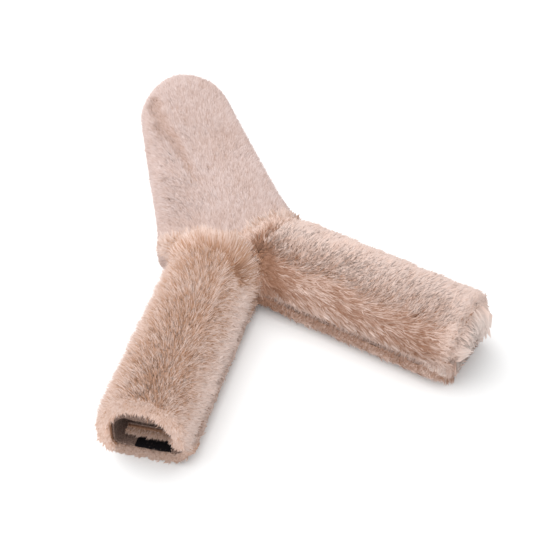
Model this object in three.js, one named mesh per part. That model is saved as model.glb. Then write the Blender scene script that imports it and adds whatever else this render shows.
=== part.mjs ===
/**
 * Harness strap cover: a soft Y of brown faux fur for the harness of a child seat.
 *
 * A padded tongue lies over the buckle, and two sleeves wrap the shoulder straps. Each sleeve is one
 * fur panel rolled round its strap: the lower flap lies under the strap, the panel climbs the outer
 * side, goes over the strap and tucks back in underneath, and a hook tape and a loop tape hold the lap.
 *
 * Millimetres, +Z up. The origin lies under the tongue, on the surface that the cover rests on, and +Y
 * runs along the tongue. Left and right are as seen from the open ends of the sleeves.
 */
import * as THREE from 'three';

// Fabric layers
const GAP = 0.3;
const LINING_THICK = 1.5;
const TAPE_THICK = 1.6;
const TAPE_WIDTH = 25;

// Pile height: standing free, and pressed flat by the cover's weight or inside the lap
const PILE_TOP = 13;
const PILE_SIDE = 12.2;
const PILE_FLOOR = 7;
const PILE_LAP = 5;
const PILE_LIP = 9;

// Strap passage and the roll of the fur panel round it
const PASSAGE_WIDTH = 40;
const PASSAGE_HEIGHT = 21.3;
const FOLD_RADIUS = 6;
const LAP_REACH = 35;
const LIP_OVERHANG = 1.7;
const LIP_RADIUS = 10;
const LIP_TURN = THREE.MathUtils.degToRad(50);
const LIP_CORNER = 9;
const LAP_SLOPE = 0.08;
const TAPE_INSET = 2.8;

// Sleeves
const SLEEVE_LENGTH = 183;
const SLEEVE_SPACING = 16;
const LEFT_SPLAY = THREE.MathUtils.degToRad(31.5);
const RIGHT_SPLAY = THREE.MathUtils.degToRad(44);
const MOUTH_ROUND = 10;
const MOUTH_TURN_IN = 4;
const LAP_RECESS = 9.5;
const HOOK_RECESS = 3;
const SHOULDER_ROUND = 24;

// The roof's lining puffs down where it is hemmed at the mouth
const HEM_PUFF = 5;
const HEM_LENGTH = 16;

// Tongue
const TONGUE_REACH = 217;
const TONGUE_BASE_WIDTH = 113;
const TONGUE_TIP_WIDTH = 74;
const TONGUE_TIP_LENGTH = 47;
const TONGUE_LEAN = 2.5;
const TONGUE_SKEW = 9;
const TONGUE_BASE_HEIGHT = 42;
const TONGUE_TIP_HEIGHT = 31;
const TONGUE_EDGE_HEIGHT = 12;
const TONGUE_CORNER_ROUND = 16;
const TONGUE_WALL = 10;
const TONGUE_DIP = 2;
const RIM_WIDTH = 4;

// The tongue's section: how square its dome is, and how much of a rib lies on top
const DOME_SQUARENESS = 0.8;
const TOP_SHARE = 0.72;

// The V seam between the tongue and the sleeves
const SEAM_APEX_Y = -20;
const SEAM_CORNER_Y = 10;
const SEAM_CREASE = 8;

// Locks of the fur: how far they stand out, and how wide they are
const SLEEVE_LOCK = 1.3;
const TONGUE_LOCK = 0.7;
const LOCK_WIDTH = 13;
const THINNEST_PILE = 0.8;

// Two crossing waves make the locks: turns in a lock's width across and along, and how each wave sways
const LOCK_WAVES = [
  { across: 0.9, along: 0.35, sway: 1.6, swayAcross: 0, swayAlong: 0.31 },
  { across: -0.4, along: 0.55, sway: 1.9, swayAcross: 0.43, swayAlong: 0 },
];

// How far the rows of a layer are drawn towards its two ends
const FUR_PULL = 0.05;
const LINING_PULL = 0.13;

const FUR_BROWN = 0xb7937f;
const FUR_PALE = 0xd4b9ae;
const LINING_TAUPE = 0x6f5e58;
const WADDING_WHITE = 0xe9e6e1;
const TAPE_BLACK = 0x191718;

const { lerp, smoothstep, clamp } = THREE.MathUtils;
const QUARTER = Math.PI / 2;
const vec2 = (x, y) => new THREE.Vector2(x, y);

/** Collects the welded corners and the triangles of one closed body. */
class Body {
  constructor() {
    this.corners = [];
    this.triangles = [];
    this.known = new Map();
  }

  /** The number of the corner at a point. */
  corner(point) {
    const key = point.toArray().map((value) => Math.round(value * 1e4) + 0).join();
    if (!this.known.has(key)) {
      this.known.set(key, this.corners.length);
      this.corners.push(point);
    }
    return this.known.get(key);
  }

  triangle(a, b, c) {
    if (a !== b && b !== c && c !== a) this.triangles.push(a, b, c);
  }

  /** Faces a grid of corners, turned round for the inner side of a layer. */
  skin(rows, inner) {
    for (let i = 1; i < rows.length; i += 1) {
      for (let j = 1; j < rows[i].length; j += 1) {
        const a = rows[i - 1][j - 1];
        const b = inner ? rows[i - 1][j] : rows[i][j - 1];
        const c = rows[i][j];
        const d = inner ? rows[i][j - 1] : rows[i - 1][j];
        this.triangle(a, b, c);
        this.triangle(a, c, d);
      }
    }
  }

  /** Closes the strip between the rims of the outer and the inner skin. */
  band(outer, inner) {
    let a = 0;
    let b = 0;
    while (a + 1 < outer.length || b + 1 < inner.length) {
      const outerNext = a + 1 < outer.length ? outer[a + 1].place : Infinity;
      const innerNext = b + 1 < inner.length ? inner[b + 1].place : Infinity;
      if (outerNext <= innerNext) {
        this.triangle(outer[a + 1].corner, outer[a].corner, inner[b].corner);
        a += 1;
      } else {
        this.triangle(inner[b].corner, inner[b + 1].corner, outer[a].corner);
        b += 1;
      }
    }
  }

  /** The geometry, with its faces turned outwards. */
  geometry() {
    const [a, b, c] = [0, 0, 0].map(() => new THREE.Vector3());
    let volume = 0;
    for (let i = 0; i < this.triangles.length; i += 3) {
      a.copy(this.corners[this.triangles[i]]);
      b.copy(this.corners[this.triangles[i + 1]]);
      c.copy(this.corners[this.triangles[i + 2]]);
      volume += a.dot(b.cross(c)) / 6;
    }
    const shape = new THREE.BufferGeometry().setFromPoints(this.corners);
    shape.setIndex(volume > 0 ? this.triangles : this.triangles.toReversed());
    shape.computeVertexNormals();
    return shape;
  }
}

/** The fractions 0 to 1 in steps, equal or drawn towards both ends by a pull of up to 0.16. */
function fractions(steps, pull = 0) {
  return Array.from({ length: steps + 1 }, (_, i) => i / steps - pull * Math.sin((2 * Math.PI * i) / steps));
}

/** Rounds a layer off over a length before its free edge. */
function roundedEnd(distance, length) {
  const inside = 1 - clamp(distance / length, 0, 1);
  return Math.sqrt(1 - inside * inside);
}

/** Waves of fur, from -1 to 1, in locks that lean across the panel. */
function locks(across, along) {
  const turn = (2 * Math.PI) / LOCK_WIDTH;
  const heights = LOCK_WAVES.map((wave) => {
    const sway = wave.sway * Math.sin(turn * (wave.swayAcross * across + wave.swayAlong * along));
    return Math.sin(turn * (wave.across * across + wave.along * along) + sway);
  });
  return heights.reduce((sum, height) => sum + height, 0) / LOCK_WAVES.length;
}

/** A vertical cut through a point, in plan, with the side that is kept. */
class Cut {
  constructor(point, along, keep) {
    this.point = point;
    this.normal = vec2(along.y, -along.x).normalize();
    if (this.normal.dot(keep.clone().sub(point)) < 0) this.normal.negate();
  }

  distance(place) {
    return this.normal.dot(place.clone().sub(this.point));
  }
}

// Heights of the layers in the lap, from the surface up
const LAYER = GAP + LINING_THICK;
const FLAP_LEVEL = PILE_FLOOR;
const HOOK_LEVEL = LAYER + GAP;
const LOOP_LEVEL = PILE_LAP + GAP;
const LAP_LEVEL = FLAP_LEVEL + LAYER + 2 * (GAP + TAPE_THICK) + LOOP_LEVEL;
const SPRING_LEVEL = LAP_LEVEL + FOLD_RADIUS;
const ROOF_LEVEL = LAP_LEVEL + PASSAGE_HEIGHT + 2 * LAYER;
const WALL = PASSAGE_WIDTH / 2 + LAYER;
const LIP_START = WALL + LIP_OVERHANG;

/** A stretch of the rolled panel: its curve, its steps, and what changes from its start to its end. */
function stretch(curve, steps, coarse, pile, free, recess = [0, 0]) {
  return { curve, steps, coarse, pile, free, recess };
}

/** An arc of an ellipse, from one angle to another. */
function arc(x, y, radiusX, radiusY, from, to) {
  return new THREE.EllipseCurve(x, y, radiusX, radiusY, from, to, false, 0);
}

/** The panel's backing in section, from the tucked edge round the strap to the lower flap's edge. */
const ROLL = [
  stretch(new THREE.LineCurve(vec2(WALL - LAP_REACH, LAP_LEVEL), vec2(WALL - FOLD_RADIUS, LAP_LEVEL)),
    4, 2, [PILE_LAP, PILE_LAP], [0, 0], [LAP_RECESS, LAP_RECESS]),
  stretch(arc(WALL - FOLD_RADIUS, SPRING_LEVEL, FOLD_RADIUS, FOLD_RADIUS, -QUARTER, 0),
    3, 2, [PILE_LAP, PILE_SIDE], [0, 1], [LAP_RECESS, 0]),
  stretch(arc(0, SPRING_LEVEL, WALL, ROOF_LEVEL - SPRING_LEVEL, 0, QUARTER),
    9, 4, [PILE_SIDE, PILE_TOP], [1, 1]),
  stretch(arc(0, SPRING_LEVEL, WALL, ROOF_LEVEL - SPRING_LEVEL, QUARTER, 2 * QUARTER),
    9, 4, [PILE_TOP, PILE_SIDE], [1, 1]),
  stretch(new THREE.LineCurve(vec2(-WALL, SPRING_LEVEL), vec2(-WALL, FLAP_LEVEL + FOLD_RADIUS)),
    3, 1, [PILE_SIDE, PILE_SIDE], [1, 1]),
  stretch(arc(FOLD_RADIUS - WALL, FLAP_LEVEL + FOLD_RADIUS, FOLD_RADIUS, FOLD_RADIUS, 2 * QUARTER, 3 * QUARTER),
    4, 2, [PILE_SIDE, PILE_FLOOR], [1, 0]),
  stretch(new THREE.LineCurve(vec2(FOLD_RADIUS - WALL, FLAP_LEVEL), vec2(LIP_START, FLAP_LEVEL)),
    5, 2, [PILE_FLOOR, PILE_FLOOR], [0, 0]),
  stretch(arc(LIP_START, FLAP_LEVEL + LIP_RADIUS, LIP_RADIUS, LIP_RADIUS, 3 * QUARTER, 3 * QUARTER + LIP_TURN),
    5, 2, [PILE_FLOOR, PILE_LIP], [0, 1], [0, LIP_CORNER]),
];

const ROOF_STRETCHES = [2, 3];

/** Samples the stretches as columns of a panel, each with its place from 0 to 1 across the panel. */
function columnsOf(stretches, stepsName) {
  const columns = [];
  let travelled = 0;
  stretches.forEach((part, number) => {
    const steps = part[stepsName];
    for (let k = number === 0 ? 0 : 1; k <= steps; k += 1) {
      const at = k / steps;
      const soft = smoothstep(at, 0, 1);
      const tangent = part.curve.getTangent(at);
      columns.push({
        place: (number + at) / stretches.length,
        point: part.curve.getPoint(at),
        normal: vec2(tangent.y, -tangent.x),
        pile: lerp(...part.pile, soft),
        free: lerp(...part.free, soft),
        recess: lerp(...part.recess, soft),
        travelled: travelled + part.curve.getLength() * at,
      });
    }
    travelled += part.curve.getLength();
  });
  columns.forEach((column) => {
    column.fromEdge = Math.min(column.travelled, travelled - column.travelled);
  });
  return columns;
}

/** The lap lies on a slight slope that rises to the free edge and fades out up the sides. */
function lapRise(u, z) {
  const fade = 1 - smoothstep(z, LAP_LEVEL + LAYER, ROOF_LEVEL);
  return LAP_SLOPE * Math.max(0, u - (FOLD_RADIUS - WALL)) * fade;
}

/** One sleeve: its own frame, with t along it, u across it towards the other sleeve, and z up. */
class Sleeve {
  constructor(side, splay) {
    this.start = vec2((side * SLEEVE_SPACING) / 2, 0);
    this.along = vec2(side * Math.sin(splay), -Math.cos(splay));
    this.across = vec2(-side * Math.cos(splay), -Math.sin(splay));
  }

  plan(t, u) {
    return this.start.clone().addScaledVector(this.along, t).addScaledVector(this.across, u);
  }

  /** Where the sleeve starts at u, clear of the seam and of the other sleeve. */
  startAt(u) {
    const reach = this.cuts.map((cut) => (GAP - cut.distance(this.plan(0, u))) / cut.normal.dot(this.along));
    return Math.max(...reach);
  }

  /** A point of the sleeve at a fraction of the way from its seam to its end. */
  point(u, z, fraction, end) {
    const from = this.startAt(u);
    const place = this.plan(lerp(from, end, fraction), u);
    return new THREE.Vector3(place.x, place.y, Math.max(0, z + lapRise(u, z)));
  }

  /** The height of free pile: full on the sleeve, low at its seam and rolled in at its mouth. */
  pileAt(column, fraction, end) {
    const u = column.point.x + column.normal.x * column.pile;
    const t = lerp(this.startAt(u), end, fraction);
    const fromSeam = Math.min(...this.cuts.map((cut) => cut.distance(this.plan(t, u))));
    const shoulder = lerp(SEAM_CREASE / SHOULDER_ROUND, 1, roundedEnd(fromSeam, SHOULDER_ROUND));
    const standing = lerp(1, shoulder, column.free);
    const lock = SLEEVE_LOCK * locks(column.travelled, t) * column.free * shoulder;
    const rounded = roundedEnd(end - t, MOUTH_ROUND) * roundedEnd(column.fromEdge, column.pile);
    return Math.max(THINNEST_PILE, (column.pile * standing + lock) * rounded);
  }

  /** How far the lining puffs down off the roof, in the last stretch before the mouth. */
  hemPuff(column, fraction, end) {
    const [first, last] = [ROOF_STRETCHES[0] / ROLL.length, (ROOF_STRETCHES[1] + 1) / ROLL.length];
    const round = clamp((column.place - first) / (last - first), 0, 1);
    const t = lerp(this.startAt(column.point.x), end, fraction);
    return HEM_PUFF * Math.sin(Math.PI * round) ** 2 * smoothstep(t, end - HEM_LENGTH, end);
  }

  /** A layer of the sleeve between two offsets from the backing, towards the pile. */
  layer({ stretches, outer, inner, turnIn = 0, columns = 'coarse', rows = 6, innerRows = rows, pull = 0 }) {
    const body = new Body();
    const sheet = (offset, across, along) => along.map((fraction) => across.map((column) => {
      const end = SLEEVE_LENGTH - column.recess - turnIn;
      const raised = offset(column, fraction, end);
      const { x, y } = column.point.clone().addScaledVector(column.normal, raised);
      return body.corner(this.point(x, y, fraction, end));
    }));
    const outerAcross = columnsOf(stretches, columns);
    const innerAcross = columnsOf(stretches, 'coarse');
    const outerAlong = fractions(rows, pull);
    const innerAlong = fractions(innerRows, pull);
    const outerSkin = sheet(outer, outerAcross, outerAlong);
    const innerSkin = sheet(inner, innerAcross, innerAlong);
    body.skin(outerSkin, false);
    body.skin(innerSkin, true);
    body.band(rimOf(outerSkin, outerAlong, outerAcross), rimOf(innerSkin, innerAlong, innerAcross));
    return body.geometry();
  }
}

/** The rim of a grid, once round, with each corner's place from 0 to 4. */
function rimOf(rows, along, across) {
  const last = rows.length - 1;
  const edge = rows[0].length - 1;
  const rim = [];
  along.forEach((at, i) => rim.push({ place: at, corner: rows[i][0] }));
  across.forEach((column, j) => rim.push({ place: 1 + column.place, corner: rows[last][j] }));
  along.forEach((at, i) => rim.push({ place: 3 - along[last - i], corner: rows[last - i][edge] }));
  across.forEach((column, j) => rim.push({ place: 4 - across[edge - j].place, corner: rows[0][edge - j] }));
  return rim;
}

/** The fur panel, its lining, and the two tapes that hold the lap. */
function sleevePieces(sleeve) {
  const tapeEdge = WALL - TAPE_INSET;
  const tape = (level, recess) => [
    stretch(new THREE.LineCurve(vec2(tapeEdge - TAPE_WIDTH, level), vec2(tapeEdge, level)),
      1, 2, [0, 0], [0, 0], [recess, recess]),
  ];
  return {
    fur: sleeve.layer({
      stretches: ROLL,
      outer: (column, fraction, end) => sleeve.pileAt(column, fraction, end),
      inner: () => 0,
      columns: 'steps',
      rows: 36,
      innerRows: 6,
      pull: FUR_PULL,
    }),
    lining: sleeve.layer({
      stretches: ROLL,
      outer: () => -GAP,
      inner: (column, fraction, end) => -LAYER - sleeve.hemPuff(column, fraction, end),
      turnIn: MOUTH_TURN_IN,
      rows: 12,
      pull: LINING_PULL,
    }),
    hook: sleeve.layer({
      stretches: tape(FLAP_LEVEL, HOOK_RECESS),
      outer: () => -HOOK_LEVEL,
      inner: () => -HOOK_LEVEL - TAPE_THICK,
      rows: 2,
    }),
    loop: sleeve.layer({
      stretches: tape(LAP_LEVEL, LAP_RECESS + MOUTH_TURN_IN),
      outer: () => LOOP_LEVEL + TAPE_THICK,
      inner: () => LOOP_LEVEL,
      rows: 2,
    }),
  };
}

/** The tongue: ribs that run from its spine out to its outline, and fan out round its tip. */
class Tongue {
  constructor() {
    const tipRadius = TONGUE_TIP_WIDTH / 2;
    this.tip = vec2(0, TONGUE_REACH - TONGUE_TIP_LENGTH);
    this.apex = vec2(0, SEAM_APEX_Y);
    const corner = vec2(TONGUE_BASE_WIDTH / 2, SEAM_CORNER_Y);
    const toTip = this.tip.clone().sub(corner).normalize();
    const toApex = this.apex.clone().sub(corner).normalize();
    const onSeam = corner.clone().addScaledVector(toApex, TONGUE_CORNER_ROUND);
    const onSide = corner.clone().addScaledVector(toTip, TONGUE_CORNER_ROUND);
    const stretched = vec2(1, TONGUE_TIP_LENGTH / tipRadius);
    const fromTip = onSide.clone().sub(this.tip).divide(stretched);
    const touch = fromTip.angle() - 2 * Math.PI + Math.acos(tipRadius / fromTip.length());
    const round = vec2(Math.cos(touch), Math.sin(touch)).multiplyScalar(tipRadius);
    const onTip = this.tip.clone().add(round.multiply(stretched));
    this.side = [
      new THREE.QuadraticBezierCurve(onSeam, corner, onSide),
      new THREE.LineCurve(onSide, onTip),
    ];
    this.arc = arc(this.tip.x, this.tip.y, tipRadius, TONGUE_TIP_LENGTH, touch, QUARTER);
    this.corner = corner;
  }

  /** The ribs of the right half, from the seam round to the tip. */
  halfRibs(steps) {
    const [round, side] = this.side;
    const length = round.getLength() + side.getLength();
    const ribs = [];
    const add = (edge, run) => ribs.push({ edge, spine: this.apex.clone().lerp(this.tip, run) });
    for (let k = 0; k < steps.round; k += 1) {
      add(round.getPoint(k / steps.round), (round.getLength() * k) / steps.round / length);
    }
    for (let k = 0; k < steps.side; k += 1) {
      const run = (round.getLength() + (side.getLength() * k) / steps.side) / length;
      add(side.getPoint(k / steps.side), run);
    }
    for (let k = 0; k <= steps.arc; k += 1) add(this.arc.getPoint(k / steps.arc), 1);
    return ribs;
  }

  /** All ribs, from the left end of the seam round the tip to the right end. */
  ribs(steps) {
    const right = this.halfRibs(steps);
    const left = right.slice(0, -1).map(({ edge, spine }) => ({ edge: vec2(-edge.x, edge.y), spine }));
    return [...left, ...right.toReversed()];
  }

  /** How high the tongue stands on its spine: full over the buckle, lower at its tip and its seam. */
  heightAt(spine) {
    const run = (spine.y - this.apex.y) / (this.tip.y - this.apex.y);
    const body = lerp(TONGUE_BASE_HEIGHT, TONGUE_TIP_HEIGHT, Math.sqrt(run));
    return body - TONGUE_DIP * (1 - roundedEnd(spine.y - this.apex.y, SHOULDER_ROUND));
  }

  /** A domed body over the ribs; outer and inner place a point at a fraction from spine to rim. */
  dome(outer, inner, outerSteps, innerSteps) {
    const body = new Body();
    const sheet = (place, steps) => this.ribs(steps).map((rib) => fractions(steps.rim).map((fraction) => {
      const { reach, height } = place(rib, fraction);
      const run = rib.edge.clone().sub(rib.spine).setLength(reach);
      const at = rib.spine.clone().add(run);
      const { x, y } = drawn(at);
      return body.corner(new THREE.Vector3(x, y, height));
    }));
    const rim = (rows) => {
      const last = rows.length - 1;
      const edge = rows[0].length - 1;
      const spread = (count) => (k) => k / count;
      const right = rows[last].map((corner, j) => ({ place: spread(edge)(j), corner }));
      const round = rows.toReversed().map((row, i) => ({ place: 1 + spread(last)(i), corner: row[edge] }));
      const left = rows[0].toReversed().map((corner, j) => ({ place: 2 + spread(edge)(j), corner }));
      return [...right, ...round, ...left];
    };
    const outerSkin = sheet(outer, outerSteps);
    const innerSkin = sheet(inner, innerSteps);
    body.skin(outerSkin, false);
    body.skin(innerSkin, true);
    body.band(rim(outerSkin), rim(innerSkin));
    return body.geometry();
  }
}

const FINE_RIBS = { round: 4, side: 18, arc: 8, rim: 16 };
const COARSE_RIBS = { round: 2, side: 4, arc: 4, rim: 5 };
const WALLED_RIBS = { ...COARSE_RIBS, rim: COARSE_RIBS.rim + 1 };

/** Where a point of an even tongue comes to lie: it leans right, and its tip's left shoulder is drawn back. */
function drawn({ x, y }) {
  const lean = TONGUE_LEAN * (Math.max(0, y) / TONGUE_REACH) ** 2;
  const toLeft = Math.max(0, -x) / (TONGUE_TIP_WIDTH / 2);
  const toTip = smoothstep(y, TONGUE_REACH - TONGUE_TIP_WIDTH, TONGUE_REACH);
  return vec2(x + lean, y - TONGUE_SKEW * toLeft * toTip);
}

/** A point on a soft dome profile that ends level at its rim. */
function domePoint(reach, height, base, fraction) {
  const angle = fraction * QUARTER;
  return {
    reach: reach * Math.sin(angle) ** DOME_SQUARENESS,
    height: base + (height - base) * Math.cos(angle) ** DOME_SQUARENESS,
  };
}

/** The fur cover, the wadding in it, and the lining that closes it underneath. */
function tonguePieces(tongue) {
  const wadBase = LINING_THICK + GAP;
  const turnUnder = TONGUE_WALL - RIM_WIDTH;
  const coverOuter = (rib, fraction) => {
    const full = rib.edge.distanceTo(rib.spine);
    if (fraction > TOP_SHARE) {
      const angle = ((fraction - TOP_SHARE) / (1 - TOP_SHARE)) * QUARTER;
      const reach = full - turnUnder * (1 - Math.cos(angle));
      return { reach, height: TONGUE_EDGE_HEIGHT * (1 - Math.sin(angle)) };
    }
    const top = domePoint(full, tongue.heightAt(rib.spine), TONGUE_EDGE_HEIGHT, fraction / TOP_SHARE);
    const at = rib.spine.clone().lerp(rib.edge, top.reach / full);
    top.height += TONGUE_LOCK * locks(at.x, at.y) * (1 - fraction / TOP_SHARE);
    return top;
  };
  const insideOf = (clearance, base) => (rib, fraction) => {
    const reach = rib.edge.distanceTo(rib.spine) - TONGUE_WALL - clearance;
    return domePoint(reach, tongue.heightAt(rib.spine) - PILE_TOP - clearance, base, fraction);
  };
  const coverInner = (rib, fraction) => {
    const onDome = (fraction * WALLED_RIBS.rim) / COARSE_RIBS.rim;
    const inside = insideOf(0, LINING_THICK)(rib, Math.min(1, onDome));
    return onDome > 1 ? { ...inside, height: 0 } : inside;
  };
  const flat = (rib, fraction) => {
    const reach = rib.edge.distanceTo(rib.spine) - TONGUE_WALL - GAP;
    return { reach: reach * fraction, height: wadBase };
  };
  const outline = tongue.ribs(COARSE_RIBS).map(({ edge, spine }) => {
    const reach = edge.distanceTo(spine) - TONGUE_WALL - GAP;
    return drawn(spine.clone().add(edge.clone().sub(spine).setLength(reach)));
  });
  const plate = new THREE.Shape([tongue.apex, ...outline.toReversed()]);
  return {
    cover: tongue.dome(coverOuter, coverInner, FINE_RIBS, WALLED_RIBS),
    wadding: tongue.dome(insideOf(GAP, wadBase), flat, COARSE_RIBS, COARSE_RIBS),
    lining: new THREE.ExtrudeGeometry(plate, { depth: LINING_THICK, bevelEnabled: false }),
  };
}

/** Where the free edges of the two lower flaps meet, in plan. */
function crotchPoint(left, right) {
  const edge = LIP_START + LIP_RADIUS * Math.sin(LIP_TURN);
  const from = left.plan(0, edge);
  const gap = right.plan(0, edge).sub(from);
  const run = gap.cross(right.along) / left.along.cross(right.along);
  return from.addScaledVector(left.along, run);
}

const tongue = new Tongue();
const sleeves = { left: new Sleeve(-1, LEFT_SPLAY), right: new Sleeve(1, RIGHT_SPLAY) };
const crotch = crotchPoint(sleeves.left, sleeves.right).sub(tongue.apex);
Object.entries(sleeves).forEach(([name, sleeve]) => {
  const corner = vec2(name === 'left' ? -tongue.corner.x : tongue.corner.x, tongue.corner.y);
  const middle = sleeve.plan(SLEEVE_LENGTH / 2, 0);
  sleeve.cuts = [
    new Cut(tongue.apex, corner.sub(tongue.apex), middle),
    new Cut(tongue.apex, crotch, middle),
  ];
});

const cover = new THREE.Group();

/** Adds a piece to the cover, in its own colour. */
function add(name, geometry, color, roughness) {
  const material = new THREE.MeshStandardMaterial({ color, roughness, metalness: 0 });
  const mesh = new THREE.Mesh(geometry, material);
  mesh.name = name;
  cover.add(mesh);
}

const soft = tonguePieces(tongue);
add('tongue_fur_cover', soft.cover, FUR_PALE, 0.95);
add('tongue_wadding', soft.wadding, WADDING_WHITE, 1);
add('tongue_lining', soft.lining, LINING_TAUPE, 0.9);
Object.entries(sleeves).forEach(([name, sleeve]) => {
  const pieces = sleevePieces(sleeve);
  add(`${name}_sleeve_fur`, pieces.fur, FUR_BROWN, 0.95);
  add(`${name}_sleeve_lining`, pieces.lining, LINING_TAUPE, 0.9);
  add(`${name}_hook_tape`, pieces.hook, TAPE_BLACK, 0.7);
  add(`${name}_loop_tape`, pieces.loop, TAPE_BLACK, 0.9);
});

export default cover;
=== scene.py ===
"""Harness strap cover: its fur, linings and tapes over the CAD frame, in a plain pale studio."""
import logging
import math
from dataclasses import dataclass, replace
from enum import Enum

import bmesh
import bpy
import numpy as np
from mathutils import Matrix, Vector


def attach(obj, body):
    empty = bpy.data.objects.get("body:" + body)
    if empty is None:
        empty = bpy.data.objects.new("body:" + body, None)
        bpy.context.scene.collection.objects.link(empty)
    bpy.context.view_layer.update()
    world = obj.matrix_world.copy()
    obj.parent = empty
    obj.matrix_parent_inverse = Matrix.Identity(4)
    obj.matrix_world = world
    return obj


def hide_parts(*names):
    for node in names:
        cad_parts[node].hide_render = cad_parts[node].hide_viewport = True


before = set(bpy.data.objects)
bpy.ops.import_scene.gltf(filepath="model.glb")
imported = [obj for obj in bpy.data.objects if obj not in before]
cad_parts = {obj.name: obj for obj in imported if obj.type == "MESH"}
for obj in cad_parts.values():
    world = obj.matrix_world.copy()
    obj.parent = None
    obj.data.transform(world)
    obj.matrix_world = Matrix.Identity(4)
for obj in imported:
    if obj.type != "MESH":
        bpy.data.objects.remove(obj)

log = logging.getLogger("harness_strap_cover")
Array = np.ndarray
Color = tuple[float, float, float]
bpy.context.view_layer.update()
MM = 0.001
SEED = 41
QUARTER = math.pi / 2
UV_NAME = "OFBake"
UP = np.array([0.0, 0.0, 1.0])
TONES = (0.02, 0.98)
FLOOR_CLEARANCE = 0.3
FLAT_DENSITY = 0.35


# Small tools for numbers

def smoothstep(value: Array, low: float, high: float) -> Array:
    """Rises softly from 0 at low to 1 at high."""
    t = np.clip((value - low) / (high - low), 0, 1)
    return t * t * (3 - 2 * t)


def rounded_end(distance: Array, length: Array) -> Array:
    """Rounds a layer off over a length before its free edge."""
    inside = 1 - np.clip(distance / length, 0, 1)
    return np.sqrt(1 - inside * inside)


def unit(vectors: Array) -> Array:
    """The vectors at length 1."""
    return vectors / np.maximum(np.linalg.norm(vectors, axis=-1, keepdims=True), 1e-9)


def dot(a: Array, b: Array) -> Array:
    """The dot products of two lists of vectors, kept as a column."""
    return np.sum(a * b, axis=-1, keepdims=True)


def scatter(cells: Array, seed: int) -> Array:
    """Even random numbers from 0 to 1 that belong to whole-numbered cells.

    Args:
        cells: Whole numbers, three to a cell.
        seed: Tells one set of numbers from another.

    Returns:
        One number for each cell.
    """
    c = cells.astype(np.int64)
    mixed = c[..., 0] * 73856093 ^ c[..., 1] * 19349663 ^ c[..., 2] * 83492791
    mixed = mixed ^ (seed + 1) * 2654435761
    mixed = (mixed ^ (mixed >> 13)) * 1274126177 & 0xFFFFFFFF
    mixed = (mixed ^ (mixed >> 15)) * 2246822519 & 0xFFFFFFFF
    return (mixed >> 8 & 0xFFFF) / 65535


def noise(points: Array, size: float, seed: int) -> Array:
    """Soft noise from -1 to 1 whose blobs have the given size.

    Args:
        points: Places in millimetres.
        size: Size of a blob in millimetres.
        seed: Tells one field from another.

    Returns:
        One value for each point.
    """
    scaled = points / size
    cell = np.floor(scaled)
    t = scaled - cell
    t = t * t * (3 - 2 * t)
    total = np.zeros(points.shape[:-1])
    for corner in np.ndindex(2, 2, 2):
        offset = np.array(corner)
        share = np.prod(np.where(offset == 1, t, 1 - t), axis=-1)
        total += share * scatter(cell + offset, seed)
    return 2 * total - 1


def clumps(points: Array, size: float, seed: int) -> tuple[Array, Array]:
    """Finds the lock that each strand belongs to.

    Args:
        points: Places in millimetres.
        size: Distance between the middles of two locks.
        seed: Tells one set of locks from another.

    Returns:
        The middle of each point's lock, and a number from 0 to 1 that belongs to the lock.
    """
    cell = np.floor(points / size)
    best = np.full(len(points), np.inf)
    middle = np.zeros_like(points)
    own = np.zeros(len(points))
    for step in np.ndindex(3, 3, 3):
        here = cell + np.array(step) - 1
        jitter = np.stack([scatter(here, seed + k) for k in range(3)], axis=-1)
        place = (here + jitter) * size
        far = np.sum((place - points) ** 2, axis=-1)
        nearer = far < best
        best[nearer] = far[nearer]
        middle[nearer] = place[nearer]
        own[nearer] = scatter(here, seed + 7)[nearer]
    return middle, own


def turned(vectors: Array, axes: Array, angles: Array) -> Array:
    """Vectors turned about unit axes that stand square to them."""
    angles = angles[:, None]
    return vectors * np.cos(angles) + np.cross(axes, vectors) * np.sin(angles)


def bell(offset: Array, size: float | tuple[float, float]) -> Array:
    """1 in the middle of a round patch, fading to 0 over its size."""
    return np.exp(-np.sum((offset / size) ** 2, axis=-1))


# The cutting pattern, as the CAD has it, in millimetres

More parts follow.
